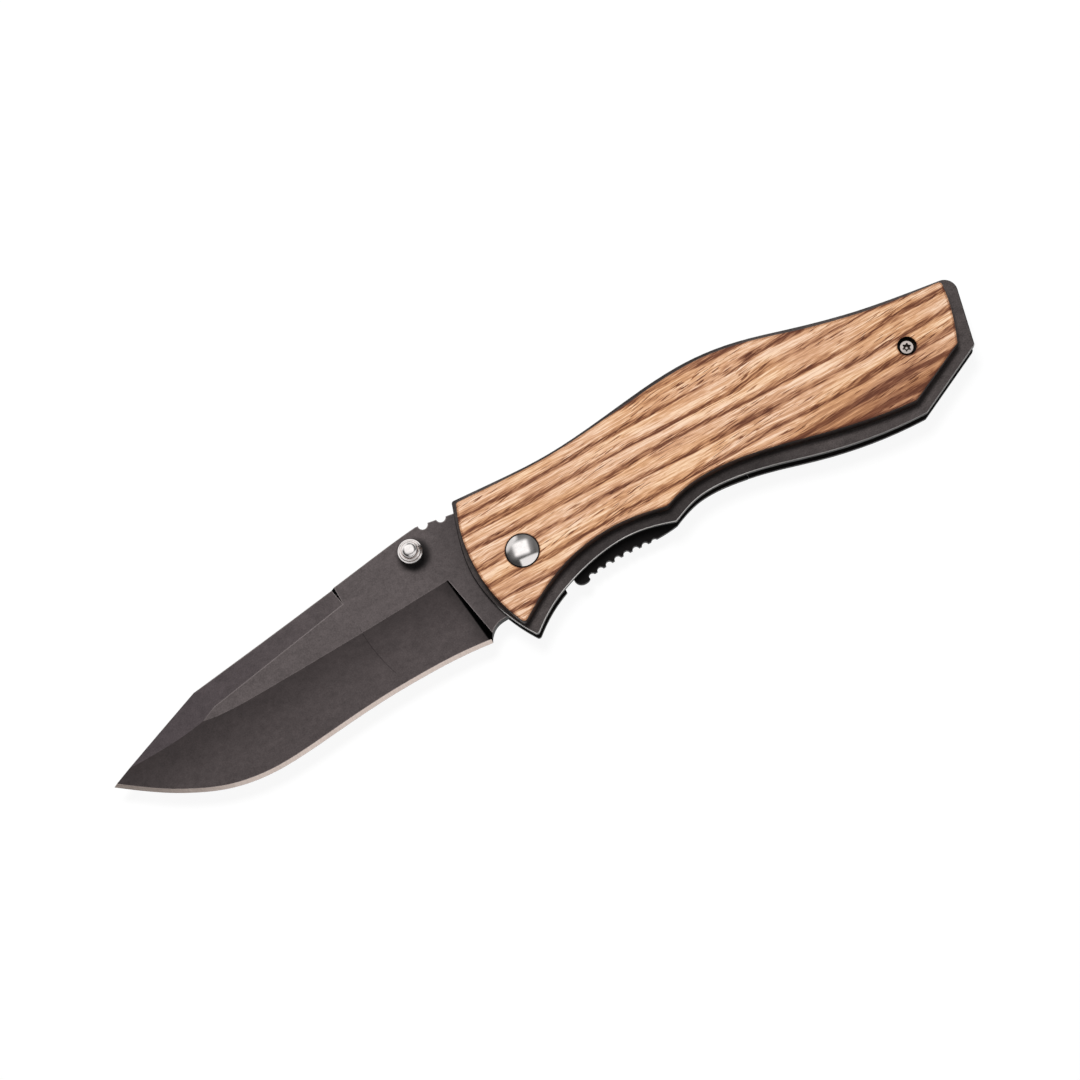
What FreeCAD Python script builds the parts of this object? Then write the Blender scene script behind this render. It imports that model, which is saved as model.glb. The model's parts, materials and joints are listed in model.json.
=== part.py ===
import FreeCAD, Part
import os
import re

import Sketcher
from FreeCAD import Placement, Rotation, Vector

# A folding pocket knife, open, in millimetres and degrees. Every piece is drawn about the pivot axis, with
# +X to the tail, +Y to the spine, +Z to the front scale and the blade's mid-plane at zero. Its Placement
# then moves it into the part's frame: lying on the rear scale, with the origin under the middle of its box.

sizes = {
    # Handle. The outlines of liners, scales and spacer are shares of the first two.
    "handle_reach": 105.0,
    "handle_height": 36.4,
    "liner_thickness": 1.2,
    "liner_corner": 0.6,
    "liner_chamfer": 0.15,
    "tail_corner": 2.8,
    "scale_thickness": 3.2,
    "scale_corner": 0.8,
    "scale_edge": 0.4,
    # Blade. Its outline is shares of the first two, up to the tang.
    "blade_reach": 96.3,
    "blade_height": 31.5,
    "blade_thickness": 3.0,
    "edge_thickness": 0.56,
    "edge_band": 0.82,
    "edge_land": 0.1,
    "swedge_thickness": 1.4,
    "grind_slope": 45.0,
    "notch_radius": 1.05,
    # Tang, stop and lock, as radii and angles about the pivot axis.
    "fold_angle": 175.0,
    "stop_orbit": 9.5,
    "stop_angle": 70.0,
    "stop_diameter": 3.2,
    "stop_gap": 0.03,
    "tang_top_radius": 13.6,
    "tang_back_radius": 5.8,
    "tang_back_angle": 50.0,
    "tang_lobe_radius": 7.3,
    "tang_lobe_angle": 62.0,
    "kick_radius": 10.6,
    # Lock bar.
    "lock_gap": 0.05,
    "lock_travel": 1.46,
    "slot_width": 0.8,
    "root_gap": 0.05,
    "mouth_width": 2.4,
    "tooth_radius": 0.75,
    "tooth_pitch": 2.1,
    "ball_diameter": 1.3,
    "detent_depth": 0.5,
    # Pivot, washers and screws. A play is the gap all round a pin in its hole.
    "pivot_diameter": 5.0,
    "pivot_play": 0.05,
    "pivot_head": 6.66,
    "pivot_seat": 2.1,
    "pivot_rim": 0.1,
    "pivot_dome": 0.75,
    "pivot_screw_diameter": 3.0,
    "pivot_screw_reach": 4.0,
    "pivot_socket": 2.8,
    "washer_diameter": 11.0,
    "washer_thickness": 0.18,
    "washer_play": 0.01,
    "tail_screw_diameter": 2.0,
    "tail_head": 3.1,
    "tail_head_height": 1.0,
    "tail_seat": 1.9,
    "tail_hole": 4.0,
    "tail_socket": 1.9,
    "screw_play": 0.02,
    "head_play": 0.18,
    "head_sink": 0.3,
    "socket_depth": 0.7,
    "head_chamfer": 0.2,
    # Thumb stud.
    "stud_diameter": 5.1,
    "stud_neck": 4.2,
    "stud_neck_height": 1.5,
    "stud_flange_height": 1.6,
    "stud_ring": 4.3,
    "stud_ring_height": 0.5,
    "stud_groove": 0.2,
    "stud_dome": 3.4,
    "stud_dome_height": 0.9,
    "stud_bevel": 0.25,
    "stud_stem": 2.6,
    "stud_screw_diameter": 1.6,
    "stud_screw_head": 4.0,
    "stud_screw_head_height": 0.9,
    "stud_screw_reach": 2.0,
    "stud_socket": 1.7,
    # Back spacer.
    "spacer_pin_diameter": 2.0,
    "spacer_corner": 0.8,
    # How far a cut runs past what it cuts.
    "overrun": 2.0,
}

# Levels above the blade's mid-plane.
blade_face = "(blade_thickness / 2)"
liner_inside = f"({blade_face} + washer_thickness + 2 * washer_play)"
liner_face = f"({liner_inside} + liner_thickness)"
scale_face = f"({liner_face} + scale_thickness)"

# Where an axis crosses its sketch.
axis = ("0", "0")

# Liner outline, as shares of the handle's reach and height, from the front of the spine round the tail.
liner_spine_shares = [(-0.078, 0.464), (0.0, 0.455), (0.095, 0.44), (0.19, 0.462), (0.286, 0.504),
                      (0.381, 0.548), (0.476, 0.566), (0.571, 0.532), (0.667, 0.452), (0.762, 0.382),
                      (0.857, 0.332), (1.006, 0.286)]
liner_tail_share = (0.973, -0.132)
liner_belly_shares = [(0.825, -0.353), (0.762, -0.353), (0.667, -0.323), (0.571, -0.258), (0.505, -0.203),
                      (0.463, -0.184)]
liner_waist_shares = [(0.463, -0.184), (0.419, -0.165), (0.367, -0.16), (0.329, -0.19), (0.293, -0.24)]
liner_thumb_shares = [(0.293, -0.24), (0.257, -0.206), (0.2, -0.174), (0.124, -0.203), (0.048, -0.27),
                      (-0.01, -0.353), (-0.048, -0.452)]
liner_front_shares = [(-0.048, -0.452), (-0.081, -0.316), (-0.11, -0.082), (-0.11, 0.165), (-0.088, 0.371),
                      (-0.078, 0.464)]
hump_share = 0.558
guard_share = -0.443

# Scale outline, set in from the liners.
scale_spine_shares = [(-0.072, 0.426), (0.0, 0.42), (0.095, 0.41), (0.19, 0.432), (0.286, 0.47),
                      (0.381, 0.508), (0.476, 0.529), (0.571, 0.493), (0.667, 0.41), (0.762, 0.341),
                      (0.857, 0.295), (0.973, 0.268)]
scale_tail_shares = [(0.973, 0.268), (0.97, 0.137), (0.958, 0.027), (0.94, -0.099)]
scale_belly_shares = [(0.814, -0.284), (0.762, -0.275), (0.667, -0.235), (0.571, -0.168), (0.476, -0.11),
                      (0.4, -0.091), (0.333, -0.104), (0.289, -0.161)]
scale_thumb_shares = [(0.289, -0.161), (0.248, -0.135), (0.19, -0.11), (0.114, -0.132), (0.048, -0.187),
                      (-0.01, -0.275), (-0.06, -0.379)]
scale_front_shares = [(-0.06, -0.379), (-0.081, -0.261), (-0.098, -0.082), (-0.099, 0.137), (-0.09, 0.302),
                      (-0.072, 0.426)]
tail_screw_share = (0.85, 0.022)

# Back spacer: a band under the spine that clears the folded blade and turns down at the tail.
spacer_spine_shares = [(0.171, 0.442), (0.229, 0.463), (0.305, 0.501), (0.381, 0.531), (0.476, 0.549),
                       (0.571, 0.515), (0.667, 0.435), (0.762, 0.365), (0.857, 0.315), (0.98, 0.272)]
spacer_tail_shares = [(0.98, 0.19), (0.967, 0.04), (0.935, 0.04)]
spacer_inside_shares = [(0.935, 0.04), (0.91, 0.18), (0.857, 0.209), (0.762, 0.258), (0.667, 0.319),
                        (0.571, 0.393), (0.476, 0.429), (0.381, 0.412), (0.286, 0.371), (0.171, 0.341)]
pin_hole = "spacer_pin_diameter / 2 + screw_play"
spacer_pin_shares = {"front": (0.248, 0.415), "middle": (0.552, 0.462), "rear": (0.895, 0.245)}

# Lock bar: its shoulder and root on the slot's side, then its thumb edge and thumb pad.
bar_shoulder_share = (0.086, -0.055)
bar_root_share = (0.463, 0.016)
bar_thumb_shares = [(0.293, -0.24), (0.248, -0.262), (0.181, -0.239), (0.133, -0.261), (0.096, -0.269)]
bar_pad_shares = [(0.096, -0.269), (0.094, -0.302), (0.067, -0.31), (0.064, -0.255)]
bar_front_share = (0.064, -0.217)
bar_tip_shares = (0.08, 0.85)
root_round_share = 0.49
first_tooth_share = (0.0995, -0.253)
tooth_bow_share = 0.0158
tooth_low_share = 0.6
tooth_count = 7
ball_share = (0.081, -0.151)

# Blade outline, as shares of the blade's reach and height.
blade_clip_shares = [(-1.0, -0.1), (-0.883, 0.055), (-0.761, 0.211)]
blade_spine_shares = [(-0.761, 0.211), (-0.62, 0.28), (-0.45, 0.367), (-0.3, 0.449), (-0.22, 0.493),
                      (-0.179, 0.507)]
blade_ricasso_share = (-0.096, 0.472)
blade_choil_shares = [(-0.099, -0.311), (-0.134, -0.314), (-0.145, -0.412)]
blade_edge_shares = [(-0.145, -0.412), (-0.208, -0.392), (-0.312, -0.397), (-0.415, -0.416),
                     (-0.519, -0.455), (-0.613, -0.494), (-0.696, -0.509), (-0.779, -0.471),
                     (-0.852, -0.382), (-0.924, -0.266), (-1.0, -0.1)]
blade_notch_shares = [(-0.1625, 0.5), (-0.121, 0.488)]
stud_share = (-0.212, 0.356)

# Grinds: where each leaves the flat, and the part of the outline that it runs out to.
bevel_shares = [(-0.169, 0.089), (-0.218, 0.077), (-0.312, 0.055), (-0.415, 0.035), (-0.519, 0.016),
                (-0.613, 0.0), (-0.696, -0.013), (-0.779, 0.0), (-0.852, 0.086), (-0.924, 0.222),
                (-1.02, 0.41)]
swedge_shares = [(-0.391, 0.27), (-0.733, 0.058)]
swedge_spine_shares = [(-0.401, 0.396), (-0.761, 0.211)]
clip_shares = [(-0.733, 0.058), (-1.02, -0.346)]
clip_spine_shares = [(-0.761, 0.211), (-1.02, -0.13)]
grind_past_share = 0.35
bevel_width_share = 0.47

dome_share = 0.55
socket_lobes = 6
socket_core_share = 0.36
socket_lobe_share = 0.1

doc = FreeCAD.newDocument("pocket_knife")
sheet = doc.addObject("Spreadsheet::Sheet", "sizes")
for row, (alias, number) in enumerate(sizes.items(), 1):
    sheet.set(f"A{row}", alias)
    sheet.set(f"B{row}", str(number))
    sheet.setAlias(f"B{row}", alias)
doc.recompute()

middle_share = (hump_share + guard_share) / 2
frame = ("(blade_reach - handle_reach) / 2", f"-handle_height * {middle_share}", scale_face)
pieces = []


def in_sheet(text):
    # An expression written with bare size names, as the document reads it.
    return re.sub(r"[a-z_]+", lambda word: f"sizes.{word[0]}" if word[0] in sizes else word[0], text)


def value(text):
    return float(sheet.evalExpression(in_sheet(text)))


def bind(thing, path, text):
    thing.setExpression(path, in_sheet(text))


def on_handle(share):
    return f"handle_reach * {share[0]}", f"handle_height * {share[1]}"


def on_blade(share):
    return f"blade_reach * {share[0]}", f"blade_height * {share[1]}"


def at_angle(radius, angle):
    return f"{radius} * cos({angle})", f"{radius} * sin({angle})"


def place(piece, x="0", y="0", z="0"):
    for axis, offset, move in zip("xyz", frame, (x, y, z)):
        bind(piece, f"Placement.Base.{axis}", f"{offset} + {move}")


def new_body(name):
    body = doc.addObject("PartDesign::Body", name)
    body.Label = name
    pieces.append(body)
    return body


def origin_plane(body, role):
    return next(item for item in body.Origin.OriginFeatures if item.Role == role)


def new_sketch(body, name, role="XY_Plane", level="0"):
    sketch = body.newObject("Sketcher::SketchObject", name)
    sketch.AttachmentSupport = [(origin_plane(body, role), "")]
    sketch.MapMode = "FlatFace"
    bind(sketch, "AttachmentOffset.Base.z", level)
    return sketch


def pin_point(sketch, geometry, position, point):
    for kind, text in zip(("DistanceX", "DistanceY"), point):
        index = sketch.addConstraint(Sketcher.Constraint(kind, -1, 1, geometry, position, value(text)))
        bind(sketch, f"Constraints[{index}]", text)


def draw_line(sketch, points):
    return sketch.addGeometry(Part.LineSegment(*[Vector(value(x), value(y)) for x, y in points])), 1, 2


def draw_curve(sketch, points):
    # A smooth curve by its poles, which all but the two ends pin here.
    poles = [Vector(value(x), value(y)) for x, y in points]
    degree = min(3, len(poles) - 1)
    spans = len(poles) - degree
    repeats = [degree + 1, *[1] * (spans - 1), degree + 1]
    curve = Part.BSplineCurve()
    curve.buildFromPolesMultsKnots(poles, repeats, list(range(spans + 1)), False, degree)
    geometry = sketch.addGeometry(curve)
    sketch.exposeInternalGeometry(geometry)
    for index, point in enumerate(points[1:-1], geometry + 2):
        pin_point(sketch, index, 3, point)
    return geometry, 1, 2


def draw_arc(sketch, points, radius):
    # A clockwise arc about the pivot axis.
    first, last = [Vector(value(x), value(y)) for x, y in points]
    circle = Part.Circle(Vector(), Vector(0, 0, 1), value(radius))
    arc = Part.ArcOfCircle(circle, circle.parameter(last), circle.parameter(first))
    geometry = sketch.addGeometry(arc)
    index = sketch.addConstraint(Sketcher.Constraint("Radius", geometry, value(radius)))
    bind(sketch, f"Constraints[{index}]", radius)
    return geometry, 2, 1


def draw_outline(sketch, runs):
    # A closed chain of runs, each from the point where the last one ended: two points are a line, more are
    # the poles of a curve, and a radius after two points makes them an arc.
    drawn = []
    for run in runs:
        points = [point for point in run if isinstance(point, tuple)]
        if len(points) < len(run):
            drawn.append(draw_arc(sketch, points, run[-1]))
        elif len(points) == 2:
            drawn.append(draw_line(sketch, points))
        else:
            drawn.append(draw_curve(sketch, points))
        pin_point(sketch, drawn[-1][0], drawn[-1][1], points[0])
    for (geometry, _, end), (following, start, _) in zip(drawn, drawn[1:] + drawn[:1]):
        sketch.addConstraint(Sketcher.Constraint("Coincident", geometry, end, following, start))


def draw_circle(sketch, centre, radius):
    middle = Vector(*[value(text) for text in centre])
    geometry = sketch.addGeometry(Part.Circle(middle, Vector(0, 0, 1), value(radius)))
    pin_point(sketch, geometry, 3, centre)
    index = sketch.addConstraint(Sketcher.Constraint("Radius", geometry, value(radius)))
    bind(sketch, f"Constraints[{index}]", radius)


def corners_to_runs(points):
    return list(zip(points, points[1:] + points[:1]))


def add_pad(body, sketch, length, side="One side", reverse=False):
    pad = body.newObject("PartDesign::Pad", f"{sketch.Name}_pad")
    pad.Profile = sketch
    pad.SideType = side
    pad.Reversed = reverse
    bind(pad, "Length", length)
    pad.recompute(True)
    return pad


def add_cut(body, sketch, depth=None, reverse=False):
    # A pocket, right through where no depth is given, that must take something away.
    cut = body.newObject("PartDesign::Pocket", f"{sketch.Name}_cut")
    cut.Profile = sketch
    cut.Reversed = reverse
    if depth:
        bind(cut, "Length", depth)
    else:
        cut.Type = "ThroughAll"
    cut.recompute(True)
    if cut.Shape.Volume >= cut.BaseFeature.Shape.Volume:
        raise RuntimeError(f"{cut.Name} cuts nothing")
    return cut


def drill(body, name, holes, level, depth=None, reverse=False):
    # Round holes, each given as its centre and radius.
    sketch = new_sketch(body, name, level=level)
    for centre, radius in holes:
        draw_circle(sketch, centre, radius)
    return add_cut(body, sketch, depth, reverse)


def add_edge_work(body, kind, feature, names, path, size):
    work = body.newObject(f"PartDesign::{kind}", f"{body.Name}_{kind}_{path}_{len(body.Group)}")
    work.Base = (feature, names)
    bind(work, path, size)
    work.recompute(True)
    return work


def upright_edges(feature, points):
    # The names of the straight upright edges that stand over the given corners.
    spots = [Vector(value(x), value(y)) for x, y in points]
    names = []
    for number, edge in enumerate(feature.Shape.Edges, 1):
        ends = [vertex.Point for vertex in edge.Vertexes]
        if len(ends) < 2 or abs(ends[0].z - ends[1].z) < edge.Length * 0.99:
            continue
        flat = Vector(ends[0].x, ends[0].y)
        if min((flat - spot).Length for spot in spots) < value("liner_corner"):
            names.append(f"Edge{number}")
    return names


def face_at(feature, level):
    # The name of the flat face that lies at a level.
    height = value(level)
    for number, face in enumerate(feature.Shape.Faces, 1):
        box = face.BoundBox
        if box.ZLength < value("washer_play") and abs(box.Center.z - height) < value("washer_play"):
            return f"Face{number}"
    raise RuntimeError(f"no face at {level}")


def revolve(body, name, runs):
    # A solid turned about Z from its half section, drawn as radius and level.
    sketch = new_sketch(body, name, "XZ_Plane")
    draw_outline(sketch, runs)
    turn = body.newObject("PartDesign::Revolution", f"{name}_turn")
    turn.Profile = sketch
    turn.ReferenceAxis = (sketch, ["V_Axis"])
    turn.Angle = 360
    turn.recompute(True)


def cut_star_socket(body, size, top, depth):
    # A star-drive socket: a round core and lobes about it.
    name = body.Name
    drill(body, f"{name}_core", [(axis, f"{size} * {socket_core_share}")], top, depth)
    across = f"{size} * {0.5 - socket_lobe_share}"
    lobe = drill(body, f"{name}_lobe", [((across, "0"), f"{size} * {socket_lobe_share}")], top, depth)
    ring = body.newObject("PartDesign::PolarPattern", f"{name}_lobes")
    ring.Originals = [lobe]
    ring.Axis = (lobe.Profile[0], ["N_Axis"])
    ring.Angle = 360
    ring.Occurrences = socket_lobes
    body.Tip = ring


def make_screw(name, head, height, shank, reach, socket):
    # A screw along Z with the underside of its head at zero and its shank below.
    body = new_body(name)
    radius = f"{head} / 2"
    corners = [("0", height), (f"{radius} - head_chamfer", height), (radius, f"{height} - head_chamfer"),
               (radius, "0"), (f"{shank} / 2", "0"), (f"{shank} / 2", f"-({reach})"), ("0", f"-({reach})")]
    revolve(body, f"{name}_section", corners_to_runs(corners))
    cut_star_socket(body, socket, height, "socket_depth")
    return body


def face_down(piece):
    piece.Placement = Placement(Vector(), Rotation(Vector(1, 0, 0), 180))


def make_liner(name, side):
    body = new_body(name)
    sketch = new_sketch(body, f"{name}_outline", level=f"{side} * {liner_inside}")
    spine, belly, waist, thumb, front = [
        [on_handle(share) for share in shares]
        for shares in (liner_spine_shares, liner_belly_shares, liner_waist_shares, liner_thumb_shares,
                       liner_front_shares)]
    tail = on_handle(liner_tail_share)
    draw_outline(sketch, [spine, (spine[-1], tail), (tail, belly[0]), belly, waist, thumb, front])
    pad = add_pad(body, sketch, "liner_thickness", reverse=side < 0)
    work = add_edge_work(body, "Fillet", pad, upright_edges(pad, [spine[-1]]), "Radius", "tail_corner")
    corners = [spine[0], tail, belly[0], waist[-1], front[0]]
    work = add_edge_work(body, "Fillet", work, upright_edges(work, corners), "Radius", "liner_corner")
    outside = f"{side} * {liner_face}"
    add_edge_work(body, "Chamfer", work, [face_at(work, outside)], "Size", "liner_chamfer")
    holes = [(axis, "pivot_diameter / 2 + screw_play"),
             (at_angle("stop_orbit", "stop_angle"), "stop_diameter / 2 + screw_play"),
             (on_handle(tail_screw_share), "tail_screw_diameter / 2 + screw_play")]
    holes += [(on_handle(share), pin_hole) for share in spacer_pin_shares.values()]
    drill(body, f"{name}_holes", holes, outside, reverse=side < 0)
    place(body)
    return body


def make_scale(name, side):
    body = new_body(name)
    sketch = new_sketch(body, f"{name}_outline", level=f"{side} * {liner_face}")
    spine, tail, belly, thumb, front = [
        [on_handle(share) for share in shares]
        for shares in (scale_spine_shares, scale_tail_shares, scale_belly_shares, scale_thumb_shares,
                       scale_front_shares)]
    draw_outline(sketch, [spine, tail, (tail[-1], belly[0]), belly, thumb, front])
    pad = add_pad(body, sketch, "scale_thickness", reverse=side < 0)
    corners = [spine[0], tail[0], tail[-1], belly[0], thumb[0], front[0]]
    work = add_edge_work(body, "Fillet", pad, upright_edges(pad, corners), "Radius", "scale_corner")
    outside = f"{side} * {scale_face}"
    add_edge_work(body, "Fillet", work, [face_at(work, outside)], "Radius", "scale_edge")
    screw = on_handle(tail_screw_share)
    back = side < 0
    holes = [(axis, "pivot_diameter / 2 + head_play"), (screw, "tail_screw_diameter / 2 + head_play")]
    drill(body, f"{name}_holes", holes, outside, reverse=back)
    drill(body, f"{name}_pivot_seat", [(axis, "pivot_head / 2 + head_play")], outside, "pivot_seat", back)
    drill(body, f"{name}_tail_seat", [(screw, "tail_hole / 2")], outside, "tail_seat", back)
    place(body)


# Angles about the pivot where the tang meets the stop pin, open and folded.
stop_lead = "asin((stop_diameter / 2 + stop_gap) / stop_orbit)"
open_stop = f"(stop_angle * 1 deg + {stop_lead})"
kick_stop = f"(stop_angle * 1 deg - {stop_lead} - fold_angle * 1 deg)"
tang_back = at_angle("tang_back_radius", "-tang_back_angle")
tang_lobe = at_angle("tang_lobe_radius", "-tang_lobe_angle")


def curve_at(name, points, level):
    # One open line or curve at a level.
    sketch = doc.addObject("Sketcher::SketchObject", name)
    bind(sketch, "Placement.Base.z", level)
    draw = draw_line if len(points) == 2 else draw_curve
    geometry, start, end = draw(sketch, points)
    pin_point(sketch, geometry, start, points[0])
    pin_point(sketch, geometry, end, points[-1])
    return sketch


def grind(name, inner, outer, thickness):
    # A cutter for one ground face: the face runs from a line on the blade's flat out to the outline, and on
    # past it by a share of its width, and its plunge wall leans by the grind slope.
    past = [tuple(f"{far} + ({far} - ({near})) * {grind_past_share}" for near, far in zip(line, edge))
            for line, edge in zip(inner, outer)]
    fall = f"({blade_face} - {thickness} / 2) * {grind_past_share}"
    ruled = doc.addObject("Part::RuledSurface", f"{name}_face")
    ruled.Curve1 = (curve_at(f"{name}_line", inner, blade_face), ["Edge1"])
    ruled.Curve2 = (curve_at(f"{name}_outline", past, f"{thickness} / 2 - {fall}"), ["Edge1"])
    cutter = doc.addObject("Part::Extrusion", f"{name}_cutter")
    cutter.Base = ruled
    cutter.DirMode = "Custom"
    cutter.Dir = Vector(1, 0, 1)
    bind(cutter, "Dir.x", "tan(grind_slope)")
    bind(cutter, "LengthFwd", "overrun + blade_thickness")
    cutter.Solid = True
    rear = doc.addObject("Part::Mirroring", f"{name}_rear_cutter")
    rear.Source = cutter
    rear.Normal = Vector(0, 0, 1)
    return [cutter, rear]


def sharpen(body, outline):
    # One side of the sharpened edge: a cutter carried along the edge of the outline from its heel.
    heel_x, heel_y = on_blade(blade_edge_shares[0])
    fall = f"((blade_thickness - edge_thickness) / 2 / (blade_height * {bevel_width_share}))"
    top = f"(edge_thickness / 2 + {fall} * edge_band)"
    low = f"(edge_land / 2 - ({top} - edge_land / 2) / edge_band * overrun)"
    inner, outer = f"{heel_y} + edge_band", f"{heel_y} - overrun"
    sketch = new_sketch(body, "edge_section", "YZ_Plane", heel_x)
    corners = [(inner, top), (outer, low), (outer, f"{top} + overrun"), (inner, f"{top} + overrun")]
    draw_outline(sketch, corners_to_runs(corners))
    edges = outline.Shape.Edges
    longest = max(range(len(edges)), key=lambda index: edges[index].Length)
    pipe = body.newObject("PartDesign::SubtractivePipe", "edge_bevel")
    pipe.Profile = sketch
    pipe.Spine = (outline, [f"Edge{longest + 1}"])
    pipe.Mode = "Binormal"
    pipe.Binormal = Vector(0, 0, 1)
    pipe.recompute(True)
    return pipe


def mirror_front(body, name, features):
    # The same cuts on the rear side.
    mirror = body.newObject("PartDesign::Mirrored", name)
    mirror.Originals = features
    mirror.MirrorPlane = (origin_plane(body, "XY_Plane"), [""])
    body.Tip = mirror


def make_blade():
    body = doc.addObject("PartDesign::Body", "blade_blank")
    clip, choil, edge = [[on_blade(share) for share in shares]
                         for shares in (blade_clip_shares, blade_choil_shares, blade_edge_shares)]
    spine = [on_blade(share) for share in blade_spine_shares]
    ricasso = on_blade(blade_ricasso_share)
    top, back_top = at_angle("tang_top_radius", open_stop), at_angle("tang_back_radius", open_stop)
    lobe_front, kick = at_angle("tang_lobe_radius", kick_stop), at_angle("kick_radius", kick_stop)
    sketch = new_sketch(body, "blade_outline")
    draw_outline(sketch, [
        clip, spine, (spine[-1], ricasso), (ricasso, top), (top, back_top),
        (back_top, tang_back, "tang_back_radius"), (tang_back, tang_lobe),
        (tang_lobe, lobe_front, "tang_lobe_radius"), (lobe_front, kick), (kick, choil[0]), choil, edge])
    add_pad(body, sketch, "blade_thickness", side="Symmetric")
    holes = [(axis, "pivot_diameter / 2 + pivot_play"), (on_blade(stud_share), "stud_stem / 2 + screw_play")]
    holes += [(on_blade(share), "notch_radius") for share in blade_notch_shares]
    drill(body, "blade_holes", holes, f"{blade_face} + overrun")
    ball_x, ball_y = on_handle(ball_share)
    detent = (f"({ball_x}) * cos(fold_angle) + ({ball_y}) * sin(fold_angle)",
              f"({ball_y}) * cos(fold_angle) - ({ball_x}) * sin(fold_angle)")
    pit = (detent, "ball_diameter / 2 + screw_play")
    drill(body, "blade_detent", [pit], f"-{blade_face}", "detent_depth", True)
    mirror_front(body, "rear_edge", [sharpen(body, sketch)])
    grinds = [(bevel_shares, blade_edge_shares, "edge_thickness"),
              (swedge_shares, swedge_spine_shares, "swedge_thickness"),
              (clip_shares, clip_spine_shares, "swedge_thickness")]
    cutters = []
    for index, (inner, outer, thickness) in enumerate(grinds):
        lines = [[on_blade(share) for share in shares] for shares in (inner, outer)]
        cutters += grind(f"grind_{index}", *lines, thickness)
    tool = doc.addObject("Part::MultiFuse", "blade_cutters")
    tool.Shapes = cutters
    ground = doc.addObject("Part::Cut", "blade")
    ground.Base = body
    ground.Tool = tool
    pieces.append(ground)
    place(ground)


def bar_tips():
    # The ends of the lock bar's end face, which stands off the tang's lock face by the gap.
    return [(f"{tang_lobe[0]} + ({tang_back[0]} - {tang_lobe[0]}) * {share} + lock_gap",
             f"{tang_lobe[1]} + ({tang_back[1]} - {tang_lobe[1]}) * {share}") for share in bar_tip_shares]


# The lock bar bends about a line across its root. Its tip, sprung behind the tang, is raised by the travel.
bend_x = f"({on_handle(bar_root_share)[0]} - liner_thickness / 2)"
bend_z = f"(-{liner_inside} - liner_thickness / 2)"
bend_angle = f"atan(lock_travel / ({bend_x} - {tang_lobe[0]}))"


def sprung(x, z):
    # Where the bend takes a point of the flat bar.
    return (f"{bend_x} + ({x} - {bend_x}) * cos({bend_angle}) + ({z} - {bend_z}) * sin({bend_angle})",
            f"{bend_z} - ({x} - {bend_x}) * sin({bend_angle}) + ({z} - {bend_z}) * cos({bend_angle})")


def make_lock_liner():
    body = make_liner("lock_liner", -1)
    low_tip, high_tip = bar_tips()
    shoulder, root = on_handle(bar_shoulder_share), on_handle(bar_root_share)
    mouth = f"{on_handle(bar_front_share)[0]} - mouth_width"
    below = f"handle_height * {guard_share} - overrun"
    end = f"{root[0]} + root_gap"
    corners = [(mouth, below), (mouth, f"{low_tip[1]} - slot_width"),
               (f"{low_tip[0]} - slot_width", low_tip[1]),
               (f"{high_tip[0]} - slot_width", f"{high_tip[1]} + slot_width"),
               (shoulder[0], f"{shoulder[1]} + slot_width"), (end, f"{root[1]} + slot_width"), (end, below)]
    sketch = new_sketch(body, "lock_slot", level=f"-{liner_face}")
    draw_outline(sketch, corners_to_runs(corners))
    add_cut(body, sketch, reverse=True)


def make_lock_bar():
    body = new_body("lock_bar")
    low_tip, high_tip = bar_tips()
    shoulder, root = on_handle(bar_shoulder_share), on_handle(bar_root_share)
    front = on_handle(bar_front_share)
    waist, thumb, pad_edge = [[on_handle(share) for share in shares]
                              for shares in (liner_waist_shares, bar_thumb_shares, bar_pad_shares)]
    sketch = new_sketch(body, "bar_outline", level=f"-{liner_face}")
    draw_outline(sketch, [(low_tip, high_tip), (high_tip, shoulder), (shoulder, root), (root, waist[0]),
                          waist, thumb, pad_edge, (pad_edge[-1], front), (front, low_tip)])
    pad = add_pad(body, sketch, "liner_thickness")
    end, flat = value(f"{root[0]} - root_gap"), value("root_gap")
    ends = [f"Edge{number}" for number, edge in enumerate(pad.Shape.Edges, 1)
            if edge.BoundBox.XMin > end and edge.BoundBox.ZLength < flat]
    add_edge_work(body, "Fillet", pad, ends, "Radius", f"liner_thickness * {root_round_share}")
    holes = [(on_handle(ball_share), "ball_diameter / 2 + screw_play")]
    for index in range(tooth_count + 1):
        bow = (2 * (index / tooth_count - tooth_low_share)) ** 2
        spot = (f"handle_reach * {first_tooth_share[0]} + tooth_pitch * {index}",
                f"handle_height * {first_tooth_share[1] - tooth_bow_share * bow}")
        holes.append((spot, "tooth_radius"))
    drill(body, "bar_holes", holes, f"-{liner_inside}")
    body.Placement = Placement(Vector(), Rotation(Vector(0, 1, 0), 1))
    bind(body, "Placement.Rotation.Angle", bend_angle)
    x, z = sprung("0", "0")
    place(body, x, "0", z)


def make_detent_ball():
    # With the bar flush, the ball just reaches the blade's face.
    ball = doc.addObject("Part::Sphere", "detent_ball")
    bind(ball, "Radius", "ball_diameter / 2")
    x, y = on_handle(ball_share)
    x, z = sprung(x, f"(-{blade_face} - washer_play - ball_diameter / 2)")
    place(ball, x, y, z)
    pieces.append(ball)


def make_spacer():
    body = new_body("back_spacer")
    spine, tail, inside = [[on_handle(share) for share in shares]
                           for shares in (spacer_spine_shares, spacer_tail_shares, spacer_inside_shares)]
    sketch = new_sketch(body, "spacer_outline")
    draw_outline(sketch, [spine, (spine[-1], tail[0]), *zip(tail, tail[1:]), inside, (inside[-1], spine[0])])
    pad = add_pad(body, sketch, f"2 * {liner_inside}", side="Symmetric")
    corners = [spine[0], spine[-1], *tail[:-1], inside[0], inside[-1]]
    add_edge_work(body, "Fillet", pad, upright_edges(pad, corners), "Radius", "spacer_corner")
    holes = [(on_handle(share), pin_hole) for share in spacer_pin_shares.values()]
    drill(body, "spacer_holes", holes, f"{liner_inside} + overrun")
    place(body)


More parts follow.
